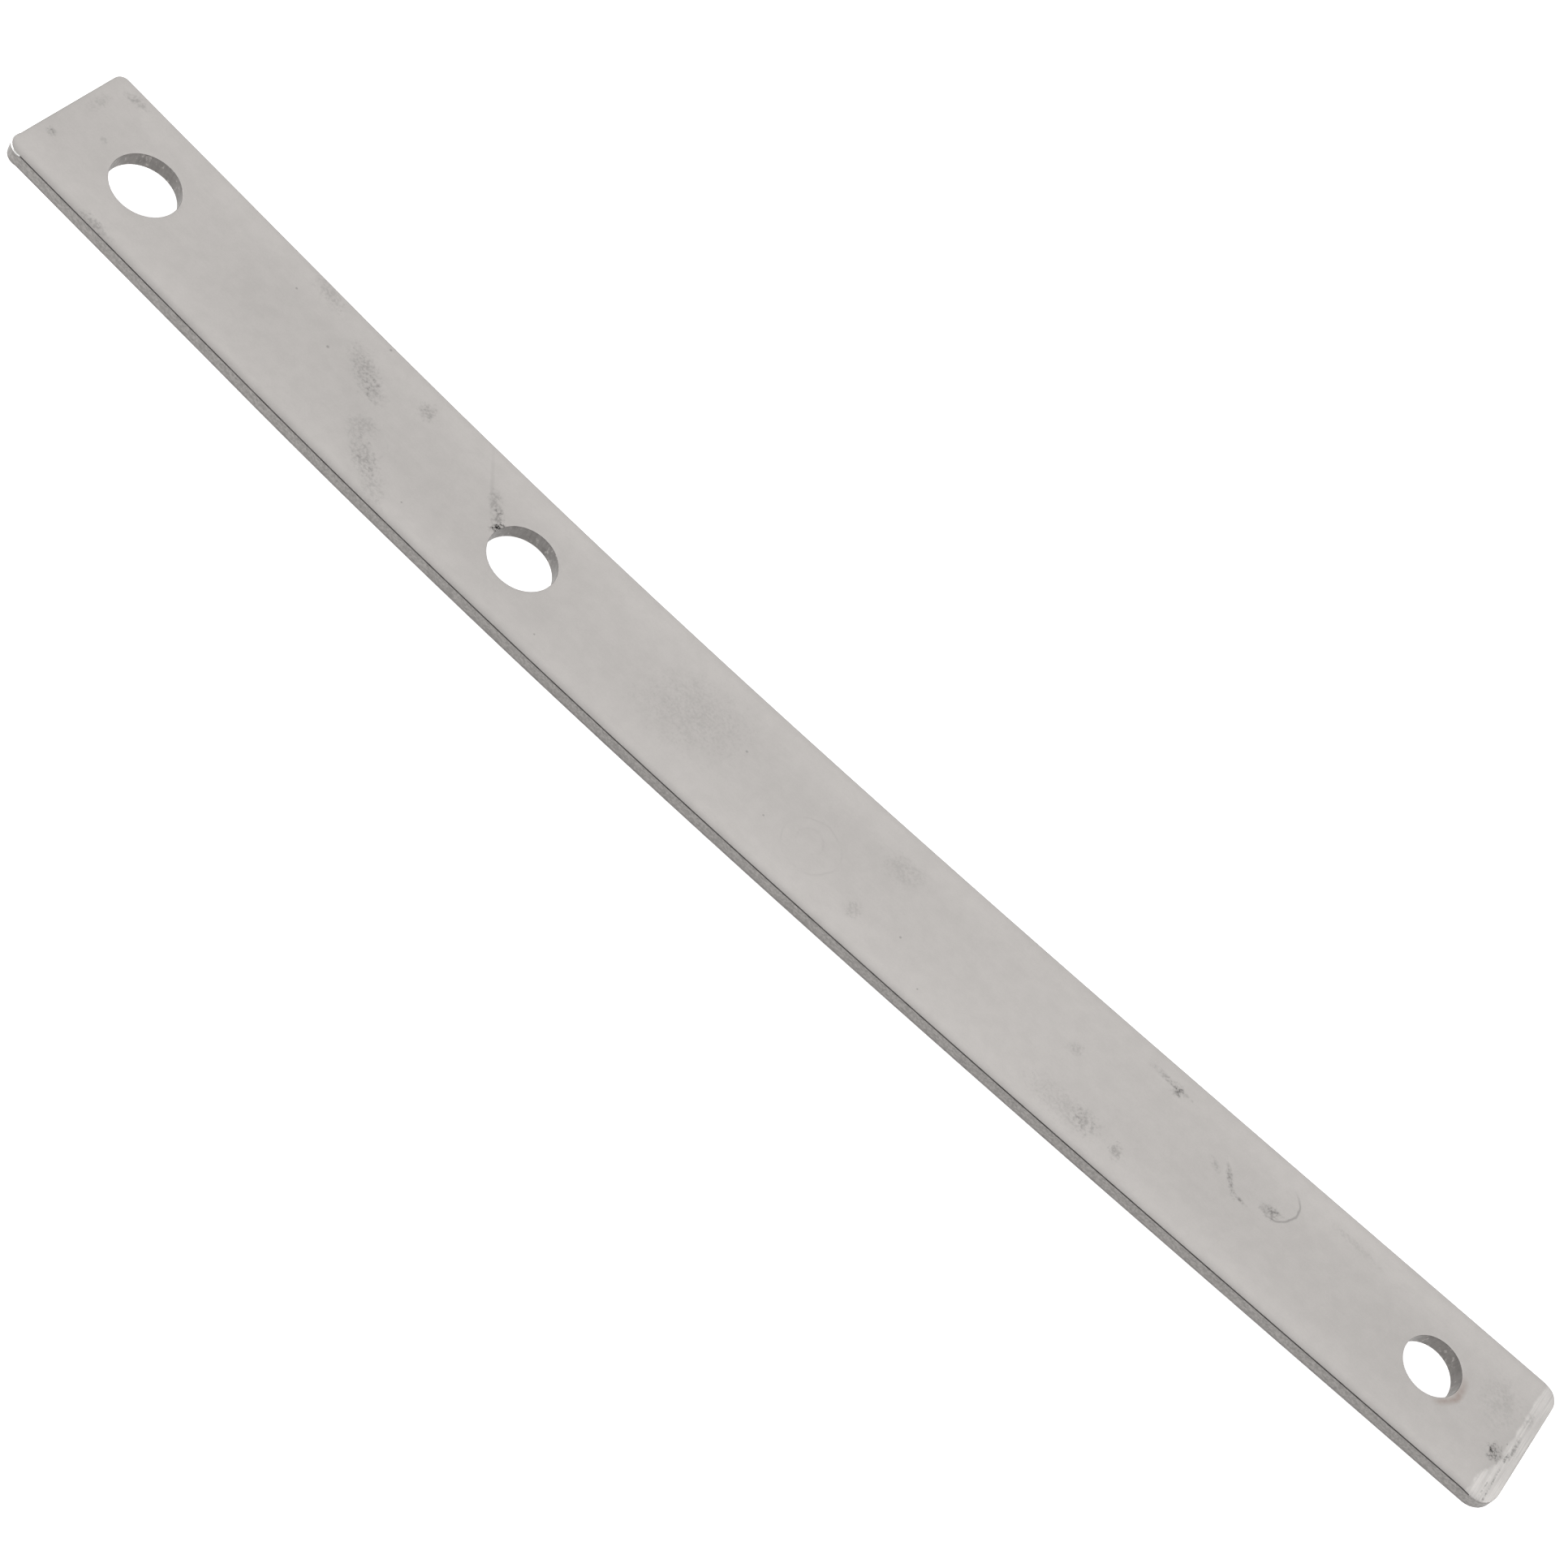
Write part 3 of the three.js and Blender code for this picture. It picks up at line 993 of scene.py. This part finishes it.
def ground_bevel_painted_highlight():
    """The ground bevel at the dressed corner, its bright colour partly a painted highlight."""
    f = Finish("steel_ground_bevel")
    lines = f.noise((3000.0, 3000.0, 300.0), detail=2.0)
    f.bump(lines, 0.01, 0.5)
    return f.done(f.shade(BEVEL_HIGHLIGHT_STEEL, f.vary(lines, 0.92, 1.0)), 1.0, 0.3)


def hole_wall():
    """The punched hole walls, drawn from face to back, with a few painted glint highlights."""
    f = Finish("steel_hole_wall")
    lines = f.noise((2400.0, 2400.0, 120.0))
    blotch = f.noise(900.0)
    painted_glints = f.noise((1700.0, 1700.0, 900.0), detail=2.0)
    # Painted highlight: bright glint specks are coloured into the wall.
    tone = f.total(
        f.vary(lines, 0.86, 1.0), f.vary(blotch, -0.08, 0.08), f.ramp(painted_glints, 0.56, 0.74, 0.0, 0.7))
    f.bump(lines, 0.03, 0.5)
    return f.done(f.shade(PUNCHED_STEEL, tone), 1.0, 0.42)


def satin_back():
    """The bar's back, with a fine lengthwise grain."""
    f = Finish("steel_satin_back")
    grain = f.noise(4200.0, detail=2.0)
    lines = f.noise((90.0, 3800.0, 3800.0))
    tone = f.total(f.vary(grain, 0.9, 0.98), f.vary(lines, -0.03, 0.03))
    f.bump(lines, 0.02, 0.5)
    return f.done(f.shade(SATIN_STEEL, tone), 1.0, 0.45)


def milled_pocket():
    """The pockets and recesses, with the swirls of the cutter."""
    f = Finish("steel_milled_pocket")
    swirl = f.noise(700.0, distortion=1.5)
    f.bump(swirl, 0.04, 0.5)
    return f.done(f.shade(SATIN_STEEL, f.vary(swirl, 0.75, 0.95)), 1.0, 0.36)


def nickel():
    """Nickel plating on the magnets."""
    f = Finish("nickel_plate")
    cloud = f.noise(500.0)
    return f.done(f.shade(NICKEL, f.vary(cloud, 0.92, 1.0)), 1.0, f.vary(cloud, 0.14, 0.24))


def mild_steel():
    """Cold rolled steel of the keeper strips, with faint oil clouds."""
    f = Finish("mild_steel")
    lines = f.noise((120.0, 3200.0, 3200.0))
    cloud = f.noise(160.0, detail=4.0)
    tone = f.total(f.vary(lines, 0.88, 1.0), f.ramp(cloud, 0.35, 0.7, 0.0, -0.12))
    f.bump(lines, 0.02, 0.5)
    return f.done(f.shade(MILD_STEEL, tone), 1.0, 0.42)


def cover_sheet():
    """Rolled sheet of the back covers, with a fine lengthwise grain."""
    f = Finish("cover_sheet")
    lines = f.noise((100.0, 5200.0, 5200.0))
    cloud = f.noise(90.0, detail=4.0)
    tone = f.total(f.vary(lines, 0.94, 1.02), f.ramp(cloud, 0.35, 0.7, 0.0, -0.04))
    f.bump(lines, 0.015, 0.5)
    return f.done(f.shade(COVER_STEEL, tone), 1.0, 0.34)


def carrier_plastic():
    """Matt black moulding of the magnet carriers."""
    f = Finish("carrier_plastic")
    grain = f.noise(3000.0)
    f.bump(grain, 0.03, 0.4)
    return f.done(f.shade(BLACK_PLASTIC, f.vary(grain, 0.8, 1.2)), 0.0, f.vary(grain, 0.45, 0.6))


def studio_floor_finish():
    """A white table lit from within, so that shadows on it stay faint."""
    f = Finish("studio_floor")
    f.connect(GLOW_WHITE, f.shader.inputs["Emission Color"])
    f.connect(FLOOR_GLOW, f.shader.inputs["Emission Strength"])
    return f.done(FLOOR_WHITE, 0.0, 0.9)


# ---- Putting it together ----

# The list is in the order of FACE, LINE, EDGE, FOOT, BEVEL, WALL, BACK and POCKET.
bar = make_bar([
    satin_face(), near_round_painted_reflection(), sheared_edge(), darker_wall_foot(), ground_bevel_painted_highlight(), hole_wall(),
    satin_back(), milled_pocket()])
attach(bar, "root")
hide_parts("face_bar")

finishes = {
    "nickel_plate": nickel(),
    "mild_steel": mild_steel(),
    "cover_sheet": cover_sheet(),
    "carrier_plastic": carrier_plastic(),
}
for name, node in frame["nodes"].items():
    if name != "face_bar":
        node.data.materials[0] = finishes[node.data.materials[0].name]


# ---- Studio ----

FLOOR_SIZE = 6.0
FLOOR_CELLS = 24
FLOOR_HEIGHT = -0.0001
WORLD_BRIGHTNESS = 0.2

# Soft lights, all facing the middle of the bar: (name, place, size across and up, power in watts)
LIGHTS = [
    ("far_soft", (0.1, 0.75, 0.85), (2.2, 1.0), 5.6),
    ("top_soft", (0.0, 0.3, 1.3), (1.4, 0.8), 2.0),
    ("near_soft", (-0.1, -0.75, 0.85), (2.2, 1.0), 5.0),
    ("left_strip", (-0.9, -0.19, 0.41), (0.5, 0.5), 7.0),
    ("right_soft", (1.0, 0.1, 0.6), (0.7, 0.8), 2.2),
]

# The camera, on the near side and above the bar, rolled so that the bar runs from corner to corner.
CAMERA_AIM = Vector((1.34, 1.34, 5.0)) * MM
CAMERA_DISTANCE = 536.6 * MM
CAMERA_ELEVATION = math.radians(49.96)
CAMERA_AZIMUTH = math.radians(-4.75)
CAMERA_ROLL = math.radians(39.21)
SENSOR_WIDTH = 36.0
FOCAL_LENGTH = 81.12
CLIP_START = 0.01


def make_floor():
    """A broad pale floor just under the bar."""
    mesh = bpy.data.meshes.new("studio_floor")
    shape = bmesh.new()
    bmesh.ops.create_grid(shape, x_segments=FLOOR_CELLS, y_segments=FLOOR_CELLS, size=FLOOR_SIZE / 2)
    shape.to_mesh(mesh)
    shape.free()
    mesh.materials.append(studio_floor_finish())
    floor = bpy.data.objects.new("studio_floor", mesh)
    floor.location = (0.0, 0.0, FLOOR_HEIGHT)
    bpy.context.scene.collection.objects.link(floor)


def make_light(name, place, size, power):
    """A rectangular soft light that faces the middle of the bar."""
    lamp = bpy.data.lights.new(name, "AREA")
    lamp.shape = "RECTANGLE"
    lamp.size, lamp.size_y = size
    lamp.energy = power
    light = bpy.data.objects.new(name, lamp)
    light.location = place
    light.rotation_euler = (-Vector(place)).to_track_quat("-Z", "Y").to_euler()
    bpy.context.scene.collection.objects.link(light)


def make_world():
    """Even dim light from all round."""
    world = bpy.data.worlds.new("studio")
    world.use_nodes = True
    background = world.node_tree.nodes["Background"]
    background.inputs["Color"].default_value = (*[WORLD_BRIGHTNESS] * 3, 1.0)
    background.inputs["Strength"].default_value = 1.0
    bpy.context.scene.world = world


def make_camera():
    away = Vector((
        -math.sin(CAMERA_AZIMUTH) * math.cos(CAMERA_ELEVATION),
        -math.cos(CAMERA_AZIMUTH) * math.cos(CAMERA_ELEVATION),
        math.sin(CAMERA_ELEVATION)))
    lens = bpy.data.cameras.new("camera")
    lens.sensor_width = SENSOR_WIDTH
    lens.lens = FOCAL_LENGTH
    lens.clip_start = CLIP_START
    camera = bpy.data.objects.new("camera", lens)
    camera.location = CAMERA_AIM + away * CAMERA_DISTANCE
    level = (-away).to_track_quat("-Z", "Y")
    camera.rotation_mode = "QUATERNION"
    camera.rotation_quaternion = level @ Quaternion((0.0, 0.0, 1.0), CAMERA_ROLL)
    bpy.context.scene.collection.objects.link(camera)
    bpy.context.scene.camera = camera


make_floor()
for name, place, size, power in LIGHTS:
    make_light(name, place, size, power)
make_world()
make_camera()
bpy.context.scene.view_settings.view_transform = "Standard"
